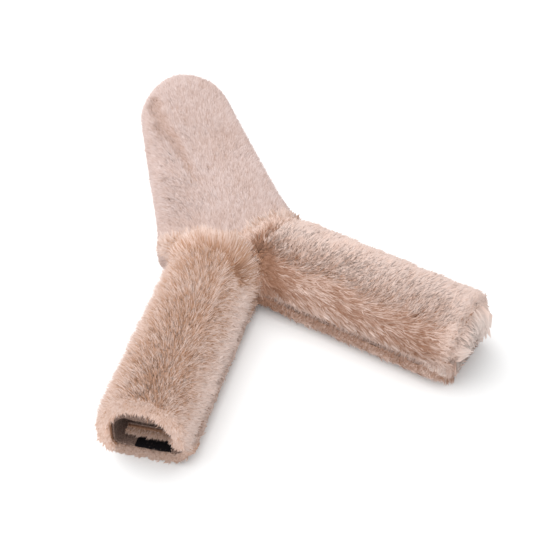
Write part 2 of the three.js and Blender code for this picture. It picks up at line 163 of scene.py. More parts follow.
@dataclass(frozen=True)
class Pattern:
    """Sizes of the cover's layers, of the roll round the strap, and of the tongue."""

    gap: float = 0.3
    lining: float = 1.5
    tape: float = 1.6
    tape_web: float = 0.85
    tape_width: float = 25
    pile_top: float = 13
    pile_side: float = 12.2
    pile_floor: float = 7
    pile_lap: float = 5
    pile_lip: float = 9
    passage_width: float = 40
    passage_height: float = 21.3
    fold_radius: float = 6
    lap_reach: float = 35
    lip_overhang: float = 1.7
    lip_radius: float = 10
    lip_turn: float = math.radians(50)
    lip_corner: float = 9
    lap_slope: float = 0.08
    tape_inset: float = 2.8
    sleeve_length: float = 183
    sleeve_spacing: float = 16
    mouth_round: float = 10
    mouth_turn_in: float = 4
    lap_recess: float = 9.5
    hook_recess: float = 3
    shoulder_round: float = 24
    tongue_reach: float = 217
    tongue_base_width: float = 113
    tongue_tip_width: float = 74
    tongue_tip_length: float = 47
    tongue_lean: float = 2.5
    tongue_skew: float = 9
    tongue_base_height: float = 42
    tongue_tip_height: float = 31
    tongue_edge_height: float = 12
    tongue_corner_round: float = 16
    tongue_wall: float = 10
    tongue_dip: float = 2
    hem_puff: float = 8
    hem_length: float = 16
    mouth_flare: float = 6
    flare_length: float = 14
    rim_width: float = 4
    seam_apex_y: float = -20
    seam_corner_y: float = 10
    seam_crease: float = 8

    @property
    def layer(self) -> float:
        """The lining with the gap beside it."""
        return self.gap + self.lining

    @property
    def lap_level(self) -> float:
        """Height of the tucked edge's backing."""
        return self.pile_floor + self.layer + 2 * (self.gap + self.tape) + self.loop_level

    @property
    def loop_level(self) -> float:
        """How far the loop tape stands off the tucked edge's backing."""
        return self.pile_lap + self.gap

    @property
    def spring_level(self) -> float:
        """Height where the roof starts to bend over."""
        return self.lap_level + self.fold_radius

    @property
    def roof_level(self) -> float:
        """Height of the roof's backing."""
        return self.lap_level + self.passage_height + 2 * self.layer

    @property
    def wall(self) -> float:
        """Distance of the side's backing from the middle of the sleeve."""
        return self.passage_width / 2 + self.layer

    @property
    def lip_start(self) -> float:
        """Where the lower flap starts to turn up at its free edge."""
        return self.wall + self.lip_overhang


CUT = Pattern()


@dataclass(frozen=True)
class Stretch:
    """One run of the rolled panel in section: a straight line, or an arc where it has radii."""

    start: tuple[float, float]
    end: tuple[float, float]
    pile: tuple[float, float]
    free: tuple[float, float]
    recess: tuple[float, float] = (0, 0)
    radii: tuple[float, float] | None = None

    def curve(self, at: Array) -> tuple[Array, Array]:
        """Points and tangents at fractions of the run.

        Args:
            at: Fractions from 0 to 1.

        Returns:
            The points and the unit tangents, two numbers each.
        """
        if self.radii is None:
            start, end = np.array(self.start), np.array(self.end)
            points = start + (end - start) * at[:, None]
            return points, np.repeat(unit(end - start)[None], len(at), axis=0)
        low, high = self.end
        angle = low + (high - low) * at
        centre, (ru, rz) = np.array(self.start), self.radii
        points = centre + np.stack([ru * np.cos(angle), rz * np.sin(angle)], axis=-1)
        return points, unit(np.stack([-ru * np.sin(angle), rz * np.cos(angle)], axis=-1))

    def length(self) -> float:
        """Length of the run."""
        points, _ = self.curve(np.linspace(0, 1, 60))
        return float(np.sum(np.linalg.norm(np.diff(points, axis=0), axis=1)))


def roll() -> list[Stretch]:
    """The panel's backing in section, from the tucked edge round the strap to the lower flap's edge.

    An arc is given by its centre, its two angles and its radii.
    """
    c = CUT
    roof = (c.wall, c.roof_level - c.spring_level)
    fold = (c.fold_radius, c.fold_radius)
    back = (c.lap_recess, c.lap_recess)
    return [
        Stretch((c.wall - c.lap_reach, c.lap_level), (c.wall - c.fold_radius, c.lap_level),
                (c.pile_lap, c.pile_lap), (0, 0), back),
        Stretch((c.wall - c.fold_radius, c.spring_level), (-QUARTER, 0),
                (c.pile_lap, c.pile_side), (0, 1), (c.lap_recess, 0), fold),
        Stretch((0, c.spring_level), (0, QUARTER), (c.pile_side, c.pile_top), (1, 1), radii=roof),
        Stretch((0, c.spring_level), (QUARTER, 2 * QUARTER),
                (c.pile_top, c.pile_side), (1, 1), radii=roof),
        Stretch((-c.wall, c.spring_level), (-c.wall, c.pile_floor + c.fold_radius),
                (c.pile_side, c.pile_side), (1, 1)),
        Stretch((c.fold_radius - c.wall, c.pile_floor + c.fold_radius), (2 * QUARTER, 3 * QUARTER),
                (c.pile_side, c.pile_floor), (1, 0), radii=fold),
        Stretch((c.fold_radius - c.wall, c.pile_floor), (c.lip_start, c.pile_floor),
                (c.pile_floor, c.pile_floor), (0, 0)),
        Stretch((c.lip_start, c.pile_floor + c.lip_radius), (3 * QUARTER, 3 * QUARTER + c.lip_turn),
                (c.pile_floor, c.pile_lip), (0, 1), (0, c.lip_corner), (c.lip_radius, c.lip_radius)),
    ]


@dataclass(frozen=True)
class Section:
    """The columns of a panel, from edge to edge; place counts the stretches passed."""

    point: Array
    normal: Array
    pile: Array
    free: Array
    recess: Array
    travelled: Array
    from_edge: Array
    place: Array

    @classmethod
    def of(cls, stretches: list[Stretch], spacing: float) -> "Section":
        """Samples stretches as columns that stand about a spacing apart.

        Args:
            stretches: The runs, in order.
            spacing: Distance between two columns in millimetres.

        Returns:
            The columns.
        """
        parts: list[tuple[Array, ...]] = []
        travelled = 0.0
        for number, part in enumerate(stretches):
            steps = max(2, round(part.length() / spacing))
            at = np.linspace(0, 1, steps + 1)[0 if number == 0 else 1:]
            soft = smoothstep(at, 0, 1)
            points, tangents = part.curve(at)
            mix = [low + (high - low) * soft for low, high in (part.pile, part.free, part.recess)]
            normals = np.stack([tangents[:, 1], -tangents[:, 0]], axis=-1)
            parts.append((points, normals, *mix, travelled + part.length() * at, number + at))
            travelled += part.length()
        point, normal, pile, free, recess, run, place = (np.concatenate(a) for a in zip(*parts))
        return cls(point, normal, pile, free, recess, run, np.minimum(run, travelled - run), place)


# Meshes

WELD = 0.02


def link(mesh: bpy.types.Mesh, name: str) -> bpy.types.Object:
    """Puts a mesh in the scene as an object at the origin."""
    piece = bpy.data.objects.new(name, mesh)
    bpy.context.scene.collection.objects.link(piece)
    return piece


def closed_shell(name: str, outer: Array, inner: Array) -> bpy.types.Object:
    """Closes the space between two grids of points.

    Args:
        name: The piece's name.
        outer: Rows of points in millimetres.
        inner: As many rows of points on the inner side.

    Returns:
        The piece, welded, with its faces outwards.
    """
    rows, columns = outer.shape[:2]
    number = np.arange(rows * columns).reshape(rows, columns)
    corners = [number[:-1, :-1], number[1:, :-1], number[1:, 1:], number[:-1, 1:]]
    quads = np.stack(corners, axis=-1).reshape(-1, 4)
    rim = np.concatenate([number[0, :-1], number[:-1, -1], number[-1, :0:-1], number[:0:-1, 0]])
    after = np.roll(rim, -1)
    far = rows * columns
    band = np.stack([rim, after, after + far, rim + far], axis=-1)
    faces = np.concatenate([quads, quads[:, ::-1] + far, band])
    mesh = bpy.data.meshes.new(name)
    points = np.concatenate([outer.reshape(-1, 3), inner.reshape(-1, 3)]) * MM
    mesh.from_pydata(points.tolist(), [], faces.tolist())
    shape = bmesh.new()
    shape.from_mesh(mesh)
    bmesh.ops.remove_doubles(shape, verts=shape.verts, dist=WELD * MM)
    bmesh.ops.dissolve_degenerate(shape, edges=shape.edges, dist=WELD / 2 * MM)
    bmesh.ops.recalc_face_normals(shape, faces=shape.faces)
    if shape.calc_volume(signed=True) < 0:
        bmesh.ops.reverse_faces(shape, faces=shape.faces)
    shape.to_mesh(mesh)
    shape.free()
    mesh.shade_smooth()
    return link(mesh, name)


def keep_above_floor(rng: np.random.Generator, *spots: Array) -> None:
    """Lifts places that lie lower than the floor, each strand's to a height of its own."""
    spread = 0.9
    level = FLOOR_CLEARANCE + spread * rng.random(len(spots[0]))
    for spot in spots:
        spot[:, 2] = np.maximum(spot[:, 2], level)


def widths(rng: np.random.Generator, width: float, count: int) -> Array:
    """Widths of strands, up to a fifth more or less than the given one."""
    return width * (0.8 + 0.4 * rng.random(count))


@dataclass
class Strands:
    """Strands of pile as slim closed spikes, bent at the middle: places in millimetres."""

    root: Array
    middle: Array
    tip: Array
    side: Array
    facing: Array
    width: Array
    tone: Array

    TONE_SPREAD = 0.012
    FACES = ((0, 2, 1), (0, 1, 3), (1, 2, 3), (2, 0, 3))
    HEIGHTS = (0.02, 0.5, 0.5, 0.98)

    def piece(self, name: str) -> bpy.types.Object:
        """Makes the strands one mesh, shaded as the pile's envelope, with a map of tone against height.

        They cast no shadow and colour nothing beside them, as the skin below them does both.

        Args:
            name: The piece's name.

        Returns:
            The piece; each strand has four three-sided faces.
        """
        count = len(self.root)
        half = self.side * self.width[:, None] / 2
        inside_out = dot(np.cross(self.middle - self.root, half), self.tip - self.root) < 0
        half = np.where(inside_out, -half, half)
        corners = np.stack([self.root, self.middle - half, self.middle + half, self.tip], axis=1)
        order = np.array(self.FACES).ravel()
        loops = order + 4 * np.arange(count)[:, None]
        spread = np.array([0, -1, 1, 0]) * self.TONE_SPREAD
        across = (self.tone[:, None] + spread)[:, order]
        upward = np.broadcast_to(np.array(self.HEIGHTS)[order], across.shape)
        mesh = bpy.data.meshes.new(name)
        mesh.vertices.add(4 * count)
        mesh.loops.add(12 * count)
        mesh.polygons.add(4 * count)
        mesh.vertices.foreach_set("co", (corners * MM).astype(np.float32).ravel())
        mesh.loops.foreach_set("vertex_index", loops.astype(np.int32).ravel())
        mesh.polygons.foreach_set("loop_start", np.arange(0, 12 * count, 3, dtype=np.int32))
        chart = mesh.uv_layers.new(name=UV_NAME)
        chart.data.foreach_set("uv", np.stack([across, upward], axis=-1).astype(np.float32).ravel())
        mesh.update(calc_edges=True)
        mesh.shade_smooth()
        mesh.normals_split_custom_set_from_vertices(np.repeat(self.facing, 4, axis=0))
        piece = link(mesh, name)
        piece.visible_shadow = False
        piece.visible_diffuse = False
        return piece


@dataclass
class Roots:
    """Where strands are sown: on the envelope, under it on the skin, and the values that lie there."""

    outer: Array
    skin: Array
    normal: Array
    values: dict[str, Array]


@dataclass
class FurSurface:
    """Two grids of points over a furred panel: the envelope of the tips, and the skin below it."""

    outer: Array
    skin: Array
    back: Array
    values: dict[str, Array]

    def normals(self) -> Array:
        """Unit normals of the envelope that point away from the panel's back."""
        facing = np.cross(np.gradient(self.outer, axis=0), np.gradient(self.outer, axis=1))
        away = self.outer - self.back
        facing = np.where(dot(facing, away) < 0, -facing, facing)
        weak = np.linalg.norm(facing, axis=-1, keepdims=True) < 1e-6
        return unit(np.where(weak, away, facing))

    def sow(self, count: int, rng: np.random.Generator) -> Roots:
        """Sows strands evenly over the envelope, thinned by the surface's own density.

        Args:
            count: How many strands.
            rng: Source of the random numbers.

        Returns:
            The places where they stand.
        """
        a, b = self.outer[:-1, :-1], self.outer[1:, :-1]
        c, d = self.outer[1:, 1:], self.outer[:-1, 1:]
        area = np.linalg.norm(np.cross(c - a, d - b), axis=-1) / 2
        density = self.values["density"]
        weight = (area * (density[:-1, :-1] + density[1:, 1:])).ravel()
        cell = rng.choice(weight.size, size=count, p=weight / weight.sum())
        i, j = np.unravel_index(cell, area.shape)
        near = np.linalg.norm(b - a, axis=-1)[i, j]
        far = np.linalg.norm(c - d, axis=-1)[i, j]
        spread = np.where(np.abs(far - near) < 1e-3, 1e-3, far - near)
        draw = rng.random(count)
        t = np.clip((np.sqrt(near**2 + (far**2 - near**2) * draw) - near) / spread, 0, 1)
        s = rng.random(count)

        def at(grid: Array) -> Array:
            """Reads a grid at the places that were drawn."""
            fs, ft = (s[:, None], t[:, None]) if grid.ndim == 3 else (s, t)
            low = grid[i, j] * (1 - fs) + grid[i + 1, j] * fs
            high = grid[i, j + 1] * (1 - fs) + grid[i + 1, j + 1] * fs
            return low * (1 - ft) + high * ft

        values = {name: at(grid) for name, grid in self.values.items()}
        return Roots(at(self.outer), at(self.skin), unit(at(self.normals())), values)


@dataclass(frozen=True)
class Coat:
    """How one coat of fur grows, in millimetres: strands drawn to small locks and these to tufts.

    Heights are shares of the pile's. Tones run from 0, dark, to 1, pale. A few guard strands stand out.
    """

    strands: int
    width: float
    lock: float
    stray: float
    lock_pull: float = 0.6
    tuft: float = 6.5
    tuft_pull: float = 0.0
    height: float = 1.02
    height_spread: float = 0.2
    bulge: float = 0.1
    tone_spread: float = 0.3
    tone_shift: float = 0.0
    twist: float = 0.6
    soften: float = 0.15
    lift: float = 0.7

    ROOT_SINK = 0.6
    MIDDLE_PULL = 0.25
    UNEVEN = 0.06
    GUARD_SHARE = 0.05
    GUARD_HEIGHT = 0.18
    GUARD_WIDTH = 0.6
    GUARD_TONE = 0.15

    def grow(self, roots: Roots, lean: Array, tone: Array, longer: Array,
             bend_radius: float, seed: int) -> Strands:
        """Grows a strand at every root.

        Args:
            roots: Where the strands stand.
            lean: How far each tip is combed over, as vectors.
            tone: Tone of each strand from 0, dark, to 1, pale.
            longer: Share of the pile's height that each strand has on top of its own.
            bend_radius: Radius of the body that the fur lies on.
            seed: Tells one coat from another.

        Returns:
            The strands.
        """
        rng = np.random.default_rng(SEED + seed)
        count = len(tone)
        normal = roots.normal
        lock, lock_own = clumps(roots.outer, self.lock, seed)
        tuft, tuft_own = clumps(roots.outer, self.tuft, seed + 50)
        pull = self.lock_pull * (lock - roots.outer) + self.tuft_pull * (tuft - roots.outer)
        pull -= dot(pull, normal) * normal
        stray = rng.normal(size=(count, 3)) * self.stray
        lean = lean * (0.75 + 0.5 * lock_own[:, None]) + stray
        lean = lean - dot(lean, normal) * normal
        depth = np.linalg.norm(roots.outer - roots.skin, axis=-1)
        share = self.height + self.height_spread * (0.7 * lock_own + 0.5 * tuft_own - 0.6)
        share = share + longer + self.UNEVEN * rng.normal(size=count)
        guard = rng.random(count) < self.GUARD_SHARE
        share = np.where(guard, share + self.GUARD_HEIGHT, share)
        drop = dot(lean, lean)[:, 0] / (2 * bend_radius)
        rise = (share - 1) * depth - drop
        tip = roots.outer + lean + pull + normal * rise[:, None]
        root = roots.skin - self.ROOT_SINK * normal
        middle = (root + tip) / 2 + normal * (self.bulge * np.linalg.norm(tip - root, axis=-1))[:, None]
        middle += self.MIDDLE_PULL * pull
        keep_above_floor(rng, root, middle, tip)
        run = unit(tip - root)
        side = unit(np.cross(run, normal))
        side = turned(side, run, rng.normal(size=count) * self.twist)
        width = widths(rng, self.width, count) * np.where(guard, self.GUARD_WIDTH, 1)
        of_lock = 0.9 * (lock_own - 0.5) + 0.5 * (tuft_own - 0.5)
        varied = tone + self.tone_shift + self.tone_spread * (of_lock + 0.35 * rng.normal(size=count))
        varied = np.where(guard, varied + self.GUARD_TONE, varied)
        facing = unit(normal + self.lift * UP + self.soften * rng.normal(size=(count, 3)))
        return Strands(root, middle, tip, side, facing, width, np.clip(varied, *TONES))


# Finishes

def linear(color: Color) -> tuple[float, ...]:
    """A colour of 0 to 255 as a screen shows it, for a shader's socket."""
    shares = [c / 255 for c in color]
    return (*[c / 12.92 if c <= 0.04045 else ((c + 0.055) / 1.055) ** 2.4 for c in shares], 1.0)


def new_material(name: str, roughness: float) -> tuple[bpy.types.Material, bpy.types.Node]:
    """Starts a material without highlights: gives it and its shader."""
    material = bpy.data.materials.new(name)
    material.use_nodes = True
    shader = material.node_tree.nodes["Principled BSDF"]
    shader.inputs["Roughness"].default_value = roughness
    shader.inputs["Specular IOR Level"].default_value = 0.0
    return material, shader


def color_mix(tree: bpy.types.NodeTree) -> tuple[bpy.types.NodeSocket, ...]:
    """A node that mixes two colours: its factor, its first and second colour, and its outcome."""
    node = tree.nodes.new("ShaderNodeMix")
    node.data_type = "RGBA"
    first, second = [i for i in node.inputs if i.type == "RGBA"]
    return node.inputs["Factor"], first, second, [o for o in node.outputs if o.type == "RGBA"][0]


def ramp(tree: bpy.types.NodeTree, stops: list[tuple[float, Color]]) -> bpy.types.Node:
    """A colour ramp with the given stops."""
    node = tree.nodes.new("ShaderNodeValToRGB")
    elements = node.color_ramp.elements
    while len(elements) < len(stops):
        elements.new(0.5)
    for element, (place, color) in zip(elements, stops):
        element.position = place
        element.color = linear(color)
    return node


@dataclass(frozen=True)
class FurFinish:
    """Fur whose strands run from a dark root to a pale tip, in two tones that a map mixes. The dark
    root is partly the fur's own colour and partly painted shade deep in the pile, where the strands
    cast no shadow.
    """

    name: str
    dark: tuple[Color, Color, Color]
    pale: tuple[Color, Color, Color]
    roughness: float = 0.8

    def material(self) -> bpy.types.Material:
        """The material of the strands."""
        material, shader = new_material(self.name, self.roughness)
        tree = material.node_tree
        chart = tree.nodes.new("ShaderNodeUVMap")
        chart.uv_map = UV_NAME
        axes = tree.nodes.new("ShaderNodeSeparateXYZ")
        factor, first, second, mixed = color_mix(tree)
        tree.links.new(chart.outputs["UV"], axes.inputs[0])
        tree.links.new(axes.outputs["X"], factor)
        for colors, socket in ((self.dark, first), (self.pale, second)):
            run = ramp(tree, list(zip((0.0, 0.5, 1.0), colors)))
            tree.links.new(axes.outputs["Y"], run.inputs["Fac"])
            tree.links.new(run.outputs["Color"], socket)
        tree.links.new(mixed, shader.inputs["Base Color"])
        return material


@dataclass(frozen=True)
class ClothFinish:
    """A cloth or a felted layer: a grain of two colours with a fine bump, on object coordinates."""

    name: str
    low: Color
    high: Color
    grain: float
    bump: float
    roughness: float = 0.9

    LOW_AT = 0.35
    HIGH_AT = 0.68

    def material(self) -> bpy.types.Material:
        """The material of the layer."""
        material, shader = new_material(self.name, self.roughness)
        tree = material.node_tree
        place = tree.nodes.new("ShaderNodeTexCoord")
        speckle = tree.nodes.new("ShaderNodeTexNoise")
        speckle.inputs["Scale"].default_value = 1 / (self.grain * MM)
        speckle.inputs["Detail"].default_value = 5
        colors = ramp(tree, [(self.LOW_AT, self.low), (self.HIGH_AT, self.high)])
        bump = tree.nodes.new("ShaderNodeBump")
        bump.inputs["Strength"].default_value = 0.6
        bump.inputs["Distance"].default_value = self.bump * MM
        tree.links.new(place.outputs["Object"], speckle.inputs["Vector"])
        tree.links.new(speckle.outputs["Fac"], colors.inputs["Fac"])
        tree.links.new(colors.outputs["Color"], shader.inputs["Base Color"])
        tree.links.new(speckle.outputs["Fac"], bump.inputs["Height"])
        tree.links.new(bump.outputs["Normal"], shader.inputs["Normal"])
        return material


class Slot(Enum):
    """The record's material slots; the short piles keep one each, but no piece is given one here."""

    BROWN_FUR = "brown_fur"
    PALE_FUR = "pale_fur"
    LINING = "lining"
    TAPE = "tape"


BROWN_STRANDS = FurFinish(
    "brown_fur_strands",
    dark=((112, 76, 56), (146, 106, 85), (180, 141, 121)),
    pale=((214, 176, 156), (228, 198, 184), (240, 220, 212)),
)
GOLDEN_STRANDS = FurFinish(
    "golden_fur_strands",
    dark=((128, 86, 60), (178, 134, 108), (204, 164, 140)),
    pale=((192, 148, 122), (224, 194, 180), (236, 216, 208)),
)
# A paler copy of the brown fur for the right sleeve's end: painted light, lightened where the end's
# strands face away from the light.
LIT_END_STRANDS = FurFinish(
    "lit_end_strands",
    dark=((190, 152, 132), (218, 184, 168), (234, 208, 196)),
    pale=((216, 184, 168), (238, 214, 203), (246, 230, 222)),
)
PALE_STRANDS = FurFinish(
    "pale_fur_strands",
    dark=((146, 110, 92), (186, 157, 145), (210, 186, 178)),
    pale=((200, 174, 164), (219, 198, 193), (233, 218, 215)),
)
BROWN_SKIN = ClothFinish("brown_undercoat", (142, 102, 80), (178, 138, 114), 1.2, 0.6)
PALE_SKIN = ClothFinish("pale_undercoat", (176, 146, 132), (202, 174, 162), 1.2, 0.6)
VELOUR = ClothFinish("lining_velour", (108, 88, 80), (158, 134, 122), 0.9, 0.35)
VELOUR_NAP = FurFinish(
    "lining_nap",
    dark=((98, 80, 72), (122, 101, 92), (146, 122, 111)),
    pale=((128, 106, 96), (158, 134, 122), (184, 158, 146)),
)
TAPE_PILE = FurFinish(
    "tape_pile",
    dark=((10, 9, 10), (20, 18, 20), (34, 31, 33)),
    pale=((18, 16, 18), (34, 31, 34), (58, 54, 57)),
)
WADDING = ClothFinish("loose_wadding", (216, 212, 206), (240, 238, 234), 3.0, 1.2)
BLACK_TAPE = ClothFinish("black_tape", (12, 11, 12), (38, 35, 37), 0.5, 0.25, roughness=0.7)


def dress(piece: bpy.types.Object, material: bpy.types.Material, node: str) -> None:
    """Finishes a piece, hangs it under the root and hides the CAD node that it replaces.

    Args:
        piece: The piece.
        material: Its material.
        node: The CAD node that it replaces.
    """
    piece.data.materials.clear()
    piece.data.materials.append(material)
    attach(piece, "root")
    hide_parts(node)
    log.info("%s: %d faces", piece.name, len(piece.data.polygons))


# The tongue

@dataclass
class Tongue:
    """The padded tongue over the buckle: ribs that run from its spine out to its outline."""

    spacing: float = 2.2
    skin_depth: float = 5.5

    TOP_SHARE = 0.72
    BLUNT = 0.8
    RIB_POINTS = 40
    CORNER_STEPS = 10
    CAP_STEPS = 26
    INNER_TURN = 1.03
    INNER_FOOT = 0.985
    WARM_PATCH = (12.0, 105.0)
    PATCH_SIZE = (20.0, 26.0)
    DENT = ((-23.5, 180.0), (-23.0, 145.0), (-17.0, 119.0), (-15.0, 88.0), (-12.0, 62.0))
    DENT_WIDTH = 3.2
    DENT_DEPTH = 2.8
    LONGER_AT_SEAM = 0.35
    BEND = 60
    BEND_AT_SEAM = 90

    @property
    def seam_run(self) -> Array:
        """Direction in plan of the V seam's right arm."""
        return unit(np.array([CUT.tongue_base_width / 2, CUT.seam_corner_y - CUT.seam_apex_y]))

    def from_seam(self, place: Array) -> Array:
        """How far places on the tongue lie from its V seam, in plan."""
        run = self.seam_run
        return (place[..., 1] - CUT.seam_apex_y) * run[0] - np.abs(place[..., 0]) * run[1]

    def dented(self, place: Array) -> Array:
        """How far the pile is pressed apart, from 0 to 1, along the dent in the tongue's left side."""
        plan = place[..., :2]
        nearest = np.full(plan.shape[:-1], np.inf)
        for start, end in zip(self.DENT[:-1], self.DENT[1:]):
            run = np.subtract(end, start)
            at = np.clip((plan - start) @ run / np.dot(run, run), 0, 1)
            away = np.linalg.norm(plan - start - at[..., None] * run, axis=-1)
            nearest = np.minimum(nearest, away)
        wander = nearest + 3 * noise(place, 9, 21)
        broken = smoothstep(noise(place, 15, 22), -0.5, 0.1) * smoothstep(place[..., 1], 40, 120)
        return np.exp(-((wander / self.DENT_WIDTH) ** 2)) * broken

    def outline(self) -> tuple[Array, Array]:
        """The rim and the spine point of each rib, from the seam's left end round to its right end."""
        c = CUT
        tip_radius = c.tongue_tip_width / 2
        stretched = np.array([1, c.tongue_tip_length / tip_radius])
        tip = np.array([0, c.tongue_reach - c.tongue_tip_length])
        apex = np.array([0, c.seam_apex_y])
        corner = np.array([c.tongue_base_width / 2, c.seam_corner_y])
        on_seam = corner + unit(apex - corner) * c.tongue_corner_round
        on_side = corner + unit(tip - corner) * c.tongue_corner_round
        from_tip = (on_side - tip) / stretched
        start = math.atan2(from_tip[1], from_tip[0])
        start += math.acos(tip_radius / np.linalg.norm(from_tip))
        on_tip = tip + tip_radius * stretched * np.array([math.cos(start), math.sin(start)])
        t = np.linspace(0, 1, self.CORNER_STEPS)[:-1, None]
        shoulder = (1 - t) ** 2 * on_seam + 2 * t * (1 - t) * corner + t**2 * on_side
        t = np.linspace(0, 1, round(np.linalg.norm(on_tip - on_side) / self.spacing))[:-1, None]
        side = on_side + (on_tip - on_side) * t
        angle = np.linspace(start, QUARTER, self.CAP_STEPS)[:, None]
        cap = tip + tip_radius * stretched * np.concatenate([np.cos(angle), np.sin(angle)], axis=1)
        edge = np.concatenate([shoulder, side, cap])
        bend = np.linalg.norm(np.diff(np.concatenate([shoulder, side, cap[:1]]), axis=0), axis=1)
        run = np.concatenate([[0], np.cumsum(bend)])
        run = np.concatenate([run / run[-1], np.ones(len(edge) - len(run))])[:, None]
        spine = apex + (tip - apex) * run
        both = [np.concatenate([half[:-1] * np.array([-1, 1]), half[::-1]]) for half in (edge, spine)]
        return both[0], both[1]

    def height_at(self, y: Array) -> Array:
        """How high the tongue stands on its spine."""
        c = CUT
        along = y - c.seam_apex_y
        run = np.clip(along / (c.tongue_reach - c.tongue_tip_length - c.seam_apex_y), 0, 1)
        body = c.tongue_base_height + (c.tongue_tip_height - c.tongue_base_height) * np.sqrt(run)
        return body - c.tongue_dip * (1 - rounded_end(along, c.shoulder_round))

    def place(self, edge: Array, spine: Array, reach: Array, height: Array) -> Array:
        """Points at a reach from the spine: the tip leans right and its left shoulder is drawn back."""
        c = CUT
        at = spine[:, None] + unit(edge - spine)[:, None] * reach[..., None]
        x, y = at[..., 0], at[..., 1]
        lean = c.tongue_lean * (np.maximum(0, y) / c.tongue_reach) ** 2
        to_left = np.maximum(0, -x) / (c.tongue_tip_width / 2)
        to_tip = smoothstep(y, c.tongue_reach - c.tongue_tip_width, c.tongue_reach)
        drawn_back = c.tongue_skew * to_left * to_tip
        return np.stack([x + lean, y - drawn_back, np.broadcast_to(height, x.shape)], axis=-1)

    def dome(self, reach: Array, height: Array, base: float, fraction: Array) -> tuple[Array, Array]:
        """A soft dome profile that ends level at its rim."""
        angle = np.clip(fraction, 0, 1) * QUARTER
        up = np.maximum(np.cos(angle), 0) ** self.BLUNT
        return reach * np.sin(angle) ** self.BLUNT, base + (height - base) * up

    def surface(self) -> FurSurface:
        """The envelope of the tongue's fur, the skin under it and the cover's inner side."""
        c = CUT
        edge, spine = self.outline()
        full = np.linalg.norm(edge - spine, axis=1)[:, None]
        fraction = np.linspace(0, 1, self.RIB_POINTS)[None]
        stand = self.height_at(spine[:, 1])[:, None]
        top_reach, top_height = self.dome(full, stand, c.tongue_edge_height, fraction / self.TOP_SHARE)
        turn = np.clip((fraction - self.TOP_SHARE) / (1 - self.TOP_SHARE), 0, 1) * QUARTER
        side_reach = full - (c.tongue_wall - c.rim_width) * (1 - np.cos(turn))
        side_height = c.tongue_edge_height * (1 - np.sin(turn))
        on_side = np.broadcast_to(fraction > self.TOP_SHARE, top_reach.shape)
        reach = np.where(on_side, side_reach, top_reach)
        outer = self.place(edge, spine, reach, np.where(on_side, side_height, top_height))
        inside = full - c.tongue_wall
        turned_in = fraction * self.INNER_TURN
        in_reach, in_height = self.dome(inside, stand - c.pile_top, c.lining, turned_in)
        in_height = np.where(fraction > self.INNER_FOOT, 0, in_height)
        back = self.place(edge, spine, in_reach, in_height)
        outer[..., 2] -= self.DENT_DEPTH * self.dented(outer)
        surface = FurSurface(outer, outer, back, {})
        depth = self.skin_depth * smoothstep(outer[..., 2], -2, 8)
        skin = outer - surface.normals() * depth[..., None]
        skin[..., 2] = np.maximum(skin[..., 2], FLOOR_CLEARANCE)
        density = FLAT_DENSITY + (1 - FLAT_DENSITY) * smoothstep(outer[..., 2], 1, 6)
        return FurSurface(outer, skin, back, {"density": density})

    def seam_fringe(self, surface: FurSurface, strands: bpy.types.Material) -> None:
        """Makes the long fur that hangs over the V seam.

        Args:
            surface: The tongue's fur.
            strands: The material of its strands.
        """
        seed, reach, over_seam, upright_lean = 13, 16, 9, 12
        near = smoothstep(self.from_seam(surface.outer), reach, 2)
        high = smoothstep(surface.outer[..., 2], 14, 22)
        sown = replace(surface, values={"density": near * high})
        roots = sown.sow(SEAM_FRINGE.strands, np.random.default_rng(SEED + seed))
        place = roots.outer
        run = self.seam_run
        flat = np.zeros(len(place))
        off_seam = np.stack([0.6 * run[1] * np.sign(place[:, 0]), flat - run[0], flat], axis=1)
        over = smoothstep(self.from_seam(place), reach, 1)
        upright = np.random.default_rng(SEED + seed + 1).random((len(place), 1))
        lean = (upright_lean * upright - over_seam) * off_seam
        lean[:, 0] += 3 * noise(place, 8, 16)
        tone = 0.18 + 0.5 * noise(place, 7, 15) + 0.4 * (1 - over)
        tone = tone + 0.3 * smoothstep(np.abs(place[:, 0]), 25, 50)
        fur = SEAM_FRINGE.grow(roots, lean, tone, self.LONGER_AT_SEAM * over, self.BEND_AT_SEAM, seed)
        dress(fur.piece("tongue_seam_fringe"), strands, "tongue_fur_cover")

    def build(self) -> None:
        """Makes the tongue's skin, its fur in two coats and a fringe over the seam, and gives the CAD
        lining and wadding their cloths.
        """
        surface = self.surface()
        skin = closed_shell("tongue_skin", surface.skin, surface.back)
        dress(skin, PALE_SKIN.material(), "tongue_fur_cover")
        strands = PALE_STRANDS.material()
        coats = (("underfur", TONGUE_UNDERFUR), ("topcoat", TONGUE_TOPCOAT))
        for seed, (name, coat) in enumerate(coats, 11):
            roots = surface.sow(coat.strands, np.random.default_rng(SEED + seed))
            place = roots.outer
            from_seam = self.from_seam(place)
            near_seam = smoothstep(from_seam, 46, 6)
            lean = np.zeros_like(place)
            lean[:, 0] = 0.06 * place[:, 0] + 1.2 * noise(place, 18, seed)
            lean[:, 1] = 3 + 3 * smoothstep(from_seam, 34, 8)
            lean = turned(lean, roots.normal, 0.35 * noise(place, 20, seed + 1))
            # Darker towards the V seam, on the left side and along the dent: painted shade of the
            # seam's crease, of the side turned from the light and of the dent's groove. The warm patch
            # is the fur's own colour.
            tone = 0.42 + 0.12 * noise(place, 30, 5) - 0.3 * near_seam
            tone = tone - 0.1 * smoothstep(-place[:, 0], 15, 40) - 0.9 * self.dented(place)
            tone = tone - 0.2 * bell(place[:, :2] - self.WARM_PATCH, self.PATCH_SIZE)
            fur = coat.grow(roots, lean, tone, self.LONGER_AT_SEAM * near_seam, self.BEND, seed)
            dress(fur.piece(f"tongue_{name}"), strands, "tongue_fur_cover")
        self.seam_fringe(surface, GOLDEN_STRANDS.material())
        for node, cloth in (("tongue_wadding", WADDING), ("tongue_lining", VELOUR)):
            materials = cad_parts[node].data.materials
            materials.clear()
            materials.append(cloth.material())


# The sleeves

